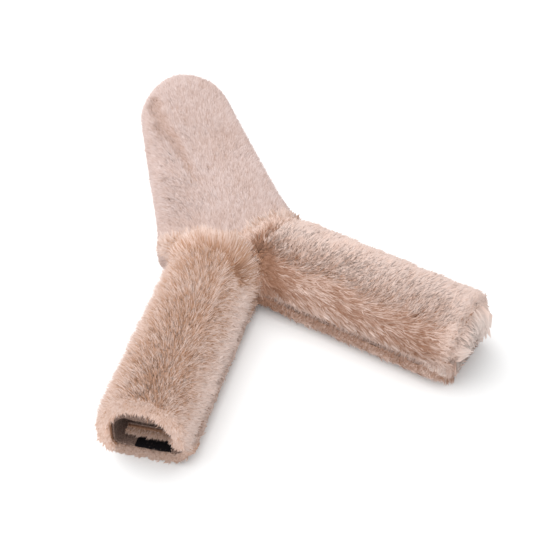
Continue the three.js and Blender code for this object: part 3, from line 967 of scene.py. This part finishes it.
def arch(place: Array) -> Array:
    """Rises from 0 at the sides of the roof to 1 at its middle, at places round the panel."""
    roof_start, roof_run = 2, 2
    return np.sin(math.pi * np.clip((place - roof_start) / roof_run, 0, 1)) ** 2


@dataclass(frozen=True)
class Comb:
    """How a sleeve's fur is combed: lean along the sleeve and across it, at places round the panel."""

    places: tuple[float, ...]
    along: tuple[float, ...]
    across: tuple[float, ...]
    swirl: float
    at_mouth: float


@dataclass(frozen=True)
class Shade:
    """Tone and extra length of a sleeve's fur at places round the panel, and its paler mouth. The tones
    are partly the fur's own and partly painted light and shade: paler where the panel faces the light,
    darker where it turns away.
    """

    places: tuple[float, ...]
    tones: tuple[float, ...]
    longer: tuple[float, ...]
    mouth: float


@dataclass(frozen=True)
class ShortPile:
    """The short pile of a lining or a tape: its growth, its finish, its tone and its paler patches."""

    coat: Coat
    finish: FurFinish
    slot: Slot
    seed: int
    tone: float
    patches: float = 0.0
    lean: float = 0.5
    bend: float = 30


@dataclass(frozen=True)
class Edge:
    """Long fur along an edge: its turn from the edge's own direction up to the pile's, in degrees."""

    name: str
    strands: int
    places: tuple[float, ...]
    turn: tuple[float, ...]
    length: tuple[float, ...]
    tones: tuple[float, ...]
    at_mouth: bool = False
    depth: float = 8
    start: float = 1
    fan: float = 4
    spread: float = 12
    curl: float = 22
    finish: FurFinish | None = None


@dataclass
class Sleeve:
    """One sleeve: a fur panel rolled round its strap, with its lining and the two tapes of its lap."""

    name: str
    side: int
    splay: float
    comb: Comb
    shade: Shade
    coats: tuple[Coat, Coat]
    finish: FurFinish
    edges: tuple[Edge, ...]
    seed: int
    spacing: float = 2.4
    skin_share: float = 0.36
    crest_width: float = 8
    nap_height: float = 0.9

    SKIN_TURN_IN = 2.5
    MOUTH_RUN = 14
    MOUTH_TONE_RUN = (26, 4)
    MOUTH_UPRIGHT = 0.6
    CREST_FADE = 4
    CREST_LEAN = 8
    CREST_WANDER = 1.5
    CREASE_WIDTH = 3
    CREASE_CENTRE = (45, 20)
    CREASE_AT_SIDES = 0.25
    CROTCH_SIZE = 16
    CROTCH_SHADE = 0.7
    BEND = 34
    FRINGE_WIDTH = 0.42
    FRINGE_LOCK = 3.2

    def __post_init__(self) -> None:
        """Works out the sleeve's own axes, in plan and in space."""
        self.start = np.array([self.side * CUT.sleeve_spacing / 2, 0])
        self.along = np.array([self.side * math.sin(self.splay), -math.cos(self.splay)])
        self.across = np.array([-self.side * math.cos(self.splay), -math.sin(self.splay)])
        self.forward, self.sideways = np.append(self.along, 0), np.append(self.across, 0)

    def plan(self, t: Array, u: Array) -> Array:
        """Points in plan at distances along and across the sleeve."""
        return self.start + np.multiply.outer(t, self.along) + np.multiply.outer(u, self.across)

    def set_cuts(self, crotch: Array) -> None:
        """Sets the two vertical cuts that bound the sleeve: the seam, and the line to the crotch.

        Args:
            crotch: Where the free edges of the two lower flaps meet.
        """
        self.crotch = crotch
        apex = np.array([0, CUT.seam_apex_y])
        corner = np.array([self.side * CUT.tongue_base_width / 2, CUT.seam_corner_y])
        middle = self.plan(CUT.sleeve_length / 2, 0)
        self.cuts = []
        for run in (corner - apex, crotch - apex):
            normal = unit(np.array([run[1], -run[0]]))
            keep = np.dot(normal, middle - apex)
            self.cuts.append((apex, normal if keep > 0 else -normal))

    def start_at(self, u: Array) -> Array:
        """Where the sleeve starts at u, clear of the seam and of the other sleeve."""
        reach = []
        for point, normal in self.cuts:
            distance = (self.plan(0, u) - point) @ normal
            reach.append((CUT.gap - distance) / np.dot(normal, self.along))
        return np.maximum(*reach)

    def reach(self, u: Array, fraction: Array, end: Array) -> Array:
        """How far along the sleeve places lie at fractions of the way from its start to an end."""
        start = self.start_at(u)
        return start + (end - start) * fraction

    def inside(self, plan: Array) -> Array:
        """How far places in plan lie inside the two cuts."""
        return np.minimum(*[(plan - point) @ normal for point, normal in self.cuts])

    def point(self, u: Array, z: Array, fraction: Array, end: Array) -> Array:
        """Points of the sleeve at fractions of the way from its seam to its end.

        Args:
            u: Distances across.
            z: Heights.
            fraction: Fractions of the way, one for each row.
            end: How far each column reaches.

        Returns:
            The points in millimetres.
        """
        fade = 1 - smoothstep(z, CUT.lap_level + CUT.layer, CUT.roof_level)
        rise = CUT.lap_slope * np.maximum(0, u - (CUT.fold_radius - CUT.wall)) * fade
        plan = self.plan(self.reach(u, fraction, end), u)
        return np.concatenate([plan, np.maximum(0, z + rise)[..., None]], axis=-1)

    def grid(self, section: Section, fraction: Array, offset: Array, turn_in: float = 0) -> Array:
        """A grid of points that stands off the panel's backing by an offset."""
        end = CUT.sleeve_length - section.recess - turn_in
        raised = section.point + section.normal * offset[..., None]
        return self.point(raised[..., 0], raised[..., 1], fraction, end)

    def pile(self, section: Section, fraction: Array) -> Array:
        """Height of the pile: full on the sleeve, low at its seam and rolled in at its mouth."""
        end = CUT.sleeve_length - section.recess
        u = np.broadcast_to(section.point[:, 0] + section.normal[:, 0] * section.pile,
                            (fraction.shape[0], len(section.pile)))
        t = self.reach(u, fraction, end)
        low = CUT.seam_crease / CUT.shoulder_round
        shoulder = low + (1 - low) * rounded_end(self.inside(self.plan(t, u)), CUT.shoulder_round)
        standing = 1 + (shoulder - 1) * section.free
        rounding = rounded_end(end - t, CUT.mouth_round) * rounded_end(section.from_edge, section.pile)
        return np.maximum(0.8, section.pile * standing * rounding)

    def flare(self, section: Section, t: Array) -> Array:
        """How far the roof's backing rises at the mouth, where the pile is pressed thin."""
        end = CUT.sleeve_length - section.recess
        return CUT.mouth_flare * arch(section.place) * smoothstep(t, end - CUT.flare_length, end)

    def surface(self) -> FurSurface:
        """The envelope of the sleeve's fur, the skin under it and the panel's backing."""
        section = Section.of(roll(), self.spacing)
        fraction = np.linspace(0, 1, round(CUT.sleeve_length / self.spacing))[:, None]
        pile = self.pile(section, fraction)
        end = CUT.sleeve_length - section.recess
        along = self.reach(section.point[:, 0], fraction, end)
        flare = self.flare(section, along)
        outer = self.grid(section, fraction, pile)
        skin_height = np.maximum(pile * self.skin_share, flare + 1)
        skin, back = (self.grid(section, fraction, h, self.SKIN_TURN_IN) for h in (skin_height, flare))
        values = {
            "density": np.broadcast_to(FLAT_DENSITY + (1 - FLAT_DENSITY) * section.free, pile.shape),
            "place": np.broadcast_to(section.place, pile.shape),
            "to_mouth": end - along,
            "from_seam": self.inside(outer[..., :2]),
        }
        return FurSurface(outer, skin, back, values)

    def by_crotch(self, place: Array) -> Array:
        """How near places lie to the crotch between the two sleeves, from 0 to 1, where the fur is
        darkened as painted shade.
        """
        return bell(place[:, :2] - self.crotch, self.CROTCH_SIZE)

    def by_seam(self, from_seam: Array, place: Array) -> tuple[Array, Array]:
        """How much strands belong to the crest of fur over the seam, and to the crease below it, where
        the pile is shorter and darkened as painted shade.
        """
        width = self.crest_width + self.CREST_WANDER * noise(place, 10, 17)
        crest = smoothstep(from_seam, width, width - self.CREST_FADE)
        centre = smoothstep(np.abs(place[:, 0]), *self.CREASE_CENTRE)
        crease = np.exp(-(((from_seam - width - 1) / self.CREASE_WIDTH) ** 2))
        return crest, crease * (self.CREASE_AT_SIDES + (1 - self.CREASE_AT_SIDES) * centre)

    def lean(self, roots: Roots, seed: int) -> Array:
        """How far each strand is combed over, as vectors."""
        place = roots.values["place"]
        along = np.interp(place, self.comb.places, self.comb.along)
        across = np.interp(place, self.comb.places, self.comb.across)
        mouth = smoothstep(roots.values["to_mouth"], self.MOUTH_RUN, 2)
        round_panel = np.cross(self.forward, roots.normal) * self.side
        crest, _ = self.by_seam(roots.values["from_seam"], roots.outer)
        lean = self.forward * (along * (1 - self.comb.at_mouth * mouth))[:, None]
        lean = lean + round_panel * (across * (1 - self.MOUTH_UPRIGHT * mouth))[:, None]
        lean = lean - self.forward * (self.CREST_LEAN * crest)[:, None]
        return turned(lean, roots.normal, self.comb.swirl * noise(roots.outer, 24, seed))

    def edge_strands(self, edge: Edge, seed: int) -> Strands:
        """Grows the long fur that hangs over one of the panel's edges.

        Args:
            edge: How many strands there are, where they stand and which way they turn.
            seed: Tells one edge from another.

        Returns:
            The strands.
        """
        count = edge.strands
        rng = np.random.default_rng(SEED + self.seed + seed)
        section = Section.of(roll(), 1.0)
        inside = (section.place >= edge.places[0]) & (section.place <= edge.places[-1])
        columns = np.flatnonzero(inside)[rng.integers(0, np.count_nonzero(inside), count)]
        point, normal = section.point[columns], section.normal[columns]
        tangent = np.stack([-normal[:, 1], normal[:, 0]], axis=-1)
        place = section.place[columns]
        end = CUT.sleeve_length - section.recess[columns]
        start = self.start_at(point[:, 0])
        if edge.at_mouth:
            back = edge.depth * rng.random(count) ** 1.3
            t = end - edge.start - back
        else:
            t = start + 4 + (end - start - 5) * rng.random(count)
            back = np.zeros(count)
        frac = (t - start) / (end - start)
        lift = section.pile[columns] * 0.3 * rng.random(count)
        if edge.at_mouth:
            flared = CUT.mouth_flare * arch(place) * smoothstep(back, CUT.flare_length, 0)
            lift = flared + (section.pile[columns] - flared) * 0.5 * rng.random(count)
        raised = point + normal * lift[:, None]
        root = self.point(raised[:, 0], raised[:, 1], frac, end)
        turn = np.interp(place, edge.places, edge.turn) + edge.fan * back
        locked = noise(root, self.FRINGE_LOCK, seed + 60)
        angle = np.radians(turn + edge.spread * rng.normal(size=count)) + 0.35 * locked
        length = np.interp(place, edge.places, edge.length)
        length = length * (0.8 + 0.25 * rng.random(count) + 0.12 * locked)
        out = normal[:, :1] * self.sideways + normal[:, 1:] * UP
        side_run = tangent[:, :1] * self.sideways + tangent[:, 1:] * UP
        away = np.broadcast_to(self.forward, out.shape) if edge.at_mouth else side_run
        curl = np.radians(edge.curl)

        def toward(turn: Array) -> Array:
            """A direction between the panel's edge and its normal."""
            return away * np.cos(turn)[:, None] + out * np.sin(turn)[:, None]

        drift = side_run * (0.18 * rng.normal(size=count))[:, None]
        if not edge.at_mouth:
            drift = drift + self.forward * (0.35 + 0.2 * rng.normal(size=count))[:, None]
        first = root + (toward(angle + curl) + 0.5 * drift) * (0.5 * length)[:, None]
        tip = first + (toward(angle - curl) + drift) * (0.5 * length)[:, None]
        keep_above_floor(rng, root, first, tip)
        run = unit(tip - root)
        side = turned(unit(np.cross(run, out)), run, rng.normal(size=count) * 0.6)
        width = widths(rng, self.FRINGE_WIDTH, count)
        tone = np.interp(place, edge.places, edge.tones)
        tone = tone + 0.15 * rng.normal(size=count) + 0.15 * locked
        # Darkened near the crotch: painted shade.
        tone = tone - self.CROTCH_SHADE * self.by_crotch(root)
        facing = unit(0.35 * out + 0.5 * away + 0.9 * UP + 0.15 * rng.normal(size=out.shape))
        return Strands(root, first, tip, side, facing, width, np.clip(tone, *TONES))

    def build(self) -> None:
        """Makes the sleeve's skin, its fur in two coats, its lining and its tapes."""
        surface = self.surface()
        node = f"{self.name}_sleeve_fur"
        skin = closed_shell(f"{self.name}_sleeve_skin", surface.skin, surface.back)
        dress(skin, BROWN_SKIN.material(), node)
        strands = self.finish.material()
        for seed, (name, coat) in enumerate(zip(("underfur", "topcoat"), self.coats), self.seed):
            roots = surface.sow(coat.strands, np.random.default_rng(SEED + seed))
            place, values = roots.outer, roots.values
            crest, crease = self.by_seam(values["from_seam"], place)
            # Tone round the panel: partly the fur's own, partly painted light and shade.
            tone = np.interp(values["place"], self.shade.places, self.shade.tones)
            tone = tone + self.shade.mouth * smoothstep(values["to_mouth"], *self.MOUTH_TONE_RUN)
            tone = tone + 0.12 * noise(place, 26, 3)
            # The crest is paler fur of its own; the crease below it is darkened as painted shade.
            tone = tone + crest * (0.65 + 0.35 * noise(place, 7, 15) - tone) - crease
            # Darkened near the crotch: painted shade.
            tone = tone - self.CROTCH_SHADE * self.by_crotch(place)
            longer = np.interp(values["place"], self.shade.places, self.shade.longer)
            longer = longer + crest * (1.1 + 0.5 * noise(place, 6, 18)) - 0.5 * crease
            fur = coat.grow(roots, self.lean(roots, seed), tone, longer, self.BEND, seed)
            dress(fur.piece(f"{self.name}_sleeve_{name}"), strands, node)
        for seed, edge in enumerate(self.edges, 3):
            fringe = self.edge_strands(edge, seed)
            own = edge.finish.material() if edge.finish else strands
            dress(fringe.piece(f"{self.name}_sleeve_{edge.name}"), own, node)
        self.lining()
        self.tapes()

    def lining(self) -> None:
        """Makes the velour lining, which puffs down off the roof at the mouth, and its nap."""
        c = CUT
        spacing, rows, closer_at_mouth = 2.6, 60, 1.7
        section = Section.of(roll(), spacing)
        fraction = (1 - (1 - np.linspace(0, 1, rows)) ** closer_at_mouth)[:, None]
        end = c.sleeve_length - section.recess - c.mouth_turn_in
        t = self.reach(section.point[:, 0], fraction, end)
        hem = smoothstep(t, end - c.hem_length, end)
        run = np.stack(np.broadcast_arrays(section.travelled, t, np.float64(self.seed)), axis=-1)
        puff = c.hem_puff * arch(section.place) * hem * (1 + 0.45 * noise(run, 11, 8))
        flare = self.flare(section, t)
        offset = flare - c.layer - puff - 0.2 * (1 + noise(run, 4, 9))
        back = self.grid(section, fraction, flare - c.gap, c.mouth_turn_in)
        face = self.grid(section, fraction, offset, c.mouth_turn_in)
        nap = self.grid(section, fraction, offset - self.nap_height, c.mouth_turn_in - 0.8)
        node = f"{self.name}_sleeve_lining"
        velour = closed_shell(f"{self.name}_lining_velour", face, back)
        dress(velour, VELOUR.material(), node)
        surface = FurSurface(nap, face, back, {"density": 0.02 + smoothstep(t, end - 45, end - 3)})
        self.short_pile(surface, NAP_PILE, self.forward, f"{self.name}_lining_nap", node)

    def short_pile(self, surface: FurSurface, pile: ShortPile, way: Array,
                   name: str, node: str) -> None:
        """Makes the short pile of the lining or of a tape.

        Args:
            surface: Where it stands.
            pile: How it grows and looks.
            way: The way that it leans.
            name: The piece's name.
            node: The CAD node that it replaces.
        """
        seed, count = self.seed + pile.seed, pile.coat.strands
        roots = surface.sow(count, np.random.default_rng(seed))
        lean = way * np.full((count, 1), pile.lean)
        tone = pile.tone + pile.patches * noise(roots.outer, 7, 10)
        fur = pile.coat.grow(roots, lean, tone, np.zeros(count), pile.bend, seed)
        dress(fur.piece(name), pile.finish.material(), node)

    def tapes(self) -> None:
        """Makes the hook tape on the lower flap and the loop tape on the tucked edge."""
        c = CUT
        edge = c.wall - c.tape_inset
        spacing, rows = 1.6, 90
        for kind, pile, level, recess, base in (
            ("hook", HOOK_PILE, c.pile_floor, c.hook_recess, -c.layer - c.gap),
            ("loop", LOOP_PILE, c.lap_level, c.lap_recess + c.mouth_turn_in, c.loop_level + c.tape),
        ):
            run = Stretch((edge - c.tape_width, level), (edge, level),
                          (0, 0), (0, 0), (recess, recess))
            section = Section.of([run], spacing)
            fraction = np.linspace(0, 1, rows)[:, None]
            flat = np.ones((rows, len(section.place)))
            levels = (base - c.tape, base - c.tape_web, base)
            tips, outer, inner = (self.grid(section, fraction, height * flat) for height in levels)
            node = f"{self.name}_{kind}_tape"
            web = closed_shell(f"{node}_web", outer, inner)
            dress(web, BLACK_TAPE.material(), node)
            surface = FurSurface(tips, outer, inner, {"density": flat})
            self.short_pile(surface, pile, self.sideways, f"{node}_{kind}s", node)


# How the fur grows. Places round the panel: 0 the tucked edge, 1 to 2 its fold, 2 to 4 the roof,
# 4 to 6 the far side, 6 to 7 the lower flap, 7 to 8 its lip

# The sleeves' underfurs are shifted darker: painted shade in the gaps between the topcoat's strands,
# which cast no shadow.
LEFT_UNDERFUR = Coat(strands=9000, width=1.0, lock=1.6, stray=1.0, lock_pull=0.3, tuft_pull=0.12,
                     height=0.6, tone_shift=-0.2)
RIGHT_UNDERFUR = replace(LEFT_UNDERFUR, lock=1.8, stray=1.2, tone_shift=-0.3)
TONGUE_UNDERFUR = replace(LEFT_UNDERFUR, strands=8000, width=1.1, lock=1.3, stray=0.7, lock_pull=0.2,
                          tuft=7.0, tuft_pull=0.05, height_spread=0.1, bulge=0.08, tone_spread=0.12,
                          tone_shift=0.0)
LEFT_TOPCOAT = Coat(strands=40000, width=0.36, lock=1.6, stray=1.4, tuft=4.5, tuft_pull=0.1,
                    height_spread=0.5, tone_spread=1.4, tone_shift=-0.05)
RIGHT_TOPCOAT = Coat(strands=40000, width=0.38, lock=2.2, stray=2.4, tuft=7.0, tuft_pull=0.2,
                     height_spread=0.6, bulge=0.15, tone_spread=0.7, tone_shift=-0.05)
TONGUE_TOPCOAT = Coat(strands=39000, width=0.38, lock=1.2, stray=0.9, lock_pull=0.15, tuft=6.0,
                      tuft_pull=0.04, height=1.0, height_spread=0.12, bulge=0.2, tone_spread=0.5)
SEAM_FRINGE = Coat(strands=8000, width=0.46, lock=2.4, stray=1.4, tuft=6.0, tuft_pull=0.2, height=1.25,
                   height_spread=0.4, bulge=0.24, tone_spread=0.6)
NAP = Coat(strands=4000, width=0.4, lock=1.4, stray=0.4, lock_pull=0.3, tuft=5.0, height=1.0,
           bulge=0.15, tone_spread=0.4, lift=0.0)
HOOKS = Coat(strands=1300, width=0.3, lock=1.6, stray=0.15, lock_pull=0.0, tuft=6.0, height=1.0,
             height_spread=0.1, bulge=0.3, lift=0.0)
LOOPS = Coat(strands=1300, width=0.3, lock=1.2, stray=0.6, lock_pull=0.4, tuft=4.0, height=1.0,
             bulge=0.4, tone_spread=0.4, tone_shift=0.1, lift=0.0)
NAP_PILE = ShortPile(NAP, VELOUR_NAP, Slot.LINING, 8, 0.6, patches=0.35)
HOOK_PILE = ShortPile(HOOKS, TAPE_PILE, Slot.TAPE, 9, 0.4)
LOOP_PILE = replace(HOOK_PILE, coat=LOOPS)

LEFT_COMB = Comb(places=(0, 1, 2, 3, 4, 6, 8), along=(3, 0, -3, -1.2, -1, 3, 3),
                 across=(0, 1, 1, 0, -1, 0, 0), swirl=0.6, at_mouth=0.9)
RIGHT_COMB = Comb(places=(0, 1, 1.8, 2.3, 2.7, 3.2, 4, 6, 8), along=(3, 7, 9, 6, 3, 1, 0, 0, 3),
                  across=(0, 4, 4, -1, -5, -7, -6, 0, 0), swirl=0.7, at_mouth=0.9)
# The tone tables paint light and shade round the panel as well as the fur's own tone: faces turned to
# the light are paler, those turned away darker.
LEFT_SHADE = Shade(places=(0, 1, 1.6, 2, 2.4, 3.0, 3.6, 4, 5, 8),
                   tones=(0.3, 0.8, 1, 1, 0.75, 0.3, 0.45, 0.9, 1, 0.5),
                   longer=(0,) * 10, mouth=0.3)
RIGHT_SHADE = Shade(places=(0, 1, 1.6, 2.2, 2.6, 3.0, 3.4, 4, 5, 8),
                    tones=(0.3, 0.5, 0.3, 0, 0.5, 1.0, 1.0, 1.0, 0.8, 0.3),
                    longer=(0, 0.1, 0.05, 0, 0, 0.05, 0.12, 0.12, 0.1, 0), mouth=0.9)
LIP_EDGE = Edge("lip_fringe", 6000, places=(6.9, 7.4, 8), turn=(40, 15, -15), length=(6, 7, 8),
                tones=(0.3, 0.3, 0.2))
LEFT_EDGES = (
    Edge("mouth_fringe", 9500, places=(0, 0.9, 1.3, 2, 4, 5, 6, 7, 8),
         turn=(5, 5, 15, 25, 25, 0, -45, -45, -20), length=(5, 5, 6, 6, 6, 6, 6, 6, 6),
         tones=(0.4, 0.4, 0.5, 0.6, 0.6, 0.6, 0.55, 0.55, 0.5), at_mouth=True),
    replace(LIP_EDGE, strands=5000, length=(4, 4, 5), tones=(0.7, 0.8, 0.8)),
    Edge("fold_fringe", 7000, places=(0.8, 1.2, 1.6, 2.2), turn=(20, 40, 60, 95),
         length=(10, 13, 14, 12), tones=(0.6, 0.8, 0.9, 0.95)),
)
RIGHT_EDGES = (
    Edge("mouth_fringe", 12500, places=(0, 0.9, 1.3, 2, 4, 5, 6, 7, 8),
         turn=(-10, -20, -70, -85, -85, -75, -85, -85, -60), length=(8, 10, 14, 18, 18, 14, 9, 9, 8),
         tones=(0.8, 0.85, 0.9, 1, 1, 1, 1, 1, 0.9), at_mouth=True, depth=12, start=4, fan=3,
         finish=LIT_END_STRANDS),
    LIP_EDGE,
    Edge("fold_fringe", 8000, places=(0.8, 1.2, 1.6, 2.0), turn=(37, 60, 95, 135),
         length=(10, 12, 14, 13), tones=(0.5, 0.6, 0.6, 0.5)),
)


def crotch_point(left: Sleeve, right: Sleeve) -> Array:
    """Where the free edges of the two lower flaps meet, in plan."""
    edge = CUT.lip_start + CUT.lip_radius * math.sin(CUT.lip_turn)
    start = left.plan(0.0, edge)
    gap = right.plan(0.0, edge) - start
    cross = left.along[0] * right.along[1] - left.along[1] * right.along[0]
    run = (gap[0] * right.along[1] - gap[1] * right.along[0]) / cross
    return start + left.along * run


# The studio

@dataclass(frozen=True)
class Studio:
    """A plain pale floor, soft light, and the camera where the photograph was taken from."""

    distance: float = 1.15027
    azimuth: float = math.radians(-13.47)
    elevation: float = math.radians(45.306)
    aim_right: float = 0.02275
    aim_up: float = 0.00245
    focal_pixels: float = 1545.89
    picture: int = 533
    floor_seen: float = 0.98
    floor_lit: float = 0.84
    sky: float = 0.84
    lamp_place: tuple[float, float, float] = (-0.5, 0.5, 1.6)
    lamp_size: float = 2.2
    lamp_energy: float = 34

    def camera(self) -> None:
        """Sets the camera up."""
        a, e = self.azimuth, self.elevation
        back = Vector((math.sin(a) * math.cos(e), -math.cos(a) * math.cos(e), math.sin(e)))
        right = Vector((math.cos(a), math.sin(a), 0))
        up = back.cross(right)
        eye = back * self.distance
        target = right * self.aim_right + up * self.aim_up
        bpy.ops.object.camera_add(location=eye)
        camera = bpy.context.object
        camera.rotation_mode = "QUATERNION"
        camera.rotation_quaternion = (target - eye).to_track_quat("-Z", "Y")
        camera.data.lens = self.focal_pixels / self.picture * camera.data.sensor_width
        camera.data.clip_start = 0.05
        bpy.context.scene.camera = camera

    def floor(self) -> None:
        """Lays the floor: white to the camera, with the object's shadow on it."""
        bpy.ops.mesh.primitive_plane_add(size=12, location=(0, 0, -0.0002))
        floor = bpy.context.object
        floor.name = "studio_floor"
        material, shader = new_material("floor_paper", 1.0)
        tree = material.node_tree
        path = tree.nodes.new("ShaderNodeLightPath")
        factor, lit, seen, mixed = color_mix(tree)
        lit.default_value = (*[self.floor_lit] * 3, 1)
        seen.default_value = (*[self.floor_seen] * 3, 1)
        tree.links.new(path.outputs["Is Camera Ray"], factor)
        tree.links.new(mixed, shader.inputs["Base Color"])
        floor.data.materials.append(material)

    def light(self) -> None:
        """Sets a sky that is white to the eye and dimmer as a light, and one wide soft lamp."""
        world = bpy.data.worlds.new("white_studio")
        bpy.context.scene.world = world
        world.use_nodes = True
        tree = world.node_tree
        tree.nodes.clear()
        kinds = ("LightPath", "Background", "Background", "MixShader", "OutputWorld")
        path, seen, lit, mix, out = (tree.nodes.new(f"ShaderNode{kind}") for kind in kinds)
        lit.inputs["Strength"].default_value = self.sky
        share = path.outputs["Is Camera Ray"]
        for ray in ("Is Glossy Ray", "Is Transmission Ray"):
            either = tree.nodes.new("ShaderNodeMath")
            either.operation = "MAXIMUM"
            tree.links.new(share, either.inputs[0])
            tree.links.new(path.outputs[ray], either.inputs[1])
            share = either.outputs[0]
        for number, socket in enumerate((share, lit.outputs[0], seen.outputs[0])):
            tree.links.new(socket, mix.inputs[number])
        tree.links.new(mix.outputs[0], out.inputs["Surface"])
        bpy.ops.object.light_add(type="AREA", location=self.lamp_place)
        lamp = bpy.context.object
        lamp.name = "soft_overhead"
        lamp.data.size = self.lamp_size
        lamp.data.energy = self.lamp_energy
        lamp.rotation_mode = "QUATERNION"
        lamp.rotation_quaternion = (-Vector(self.lamp_place)).to_track_quat("-Z", "Y")

    def build(self) -> None:
        """Makes the studio."""
        self.camera()
        self.floor()
        self.light()
        bpy.context.scene.view_settings.view_transform = "Standard"


def main() -> None:
    """Builds the cover and the studio."""
    logging.basicConfig(level=logging.INFO)
    bpy.ops.object.select_all(action="DESELECT")
    Studio().build()
    Tongue().build()
    left = Sleeve("left", -1, math.radians(31.5), LEFT_COMB, LEFT_SHADE,
                  (LEFT_UNDERFUR, LEFT_TOPCOAT), GOLDEN_STRANDS, LEFT_EDGES, 20, crest_width=14)
    right = Sleeve("right", 1, math.radians(44), RIGHT_COMB, RIGHT_SHADE,
                   (RIGHT_UNDERFUR, RIGHT_TOPCOAT), BROWN_STRANDS, RIGHT_EDGES, 30, skin_share=0.58)
    crotch = crotch_point(left, right)
    for sleeve in (left, right):
        sleeve.set_cuts(crotch)
        sleeve.build()


if __name__ == "__main__":
    main()
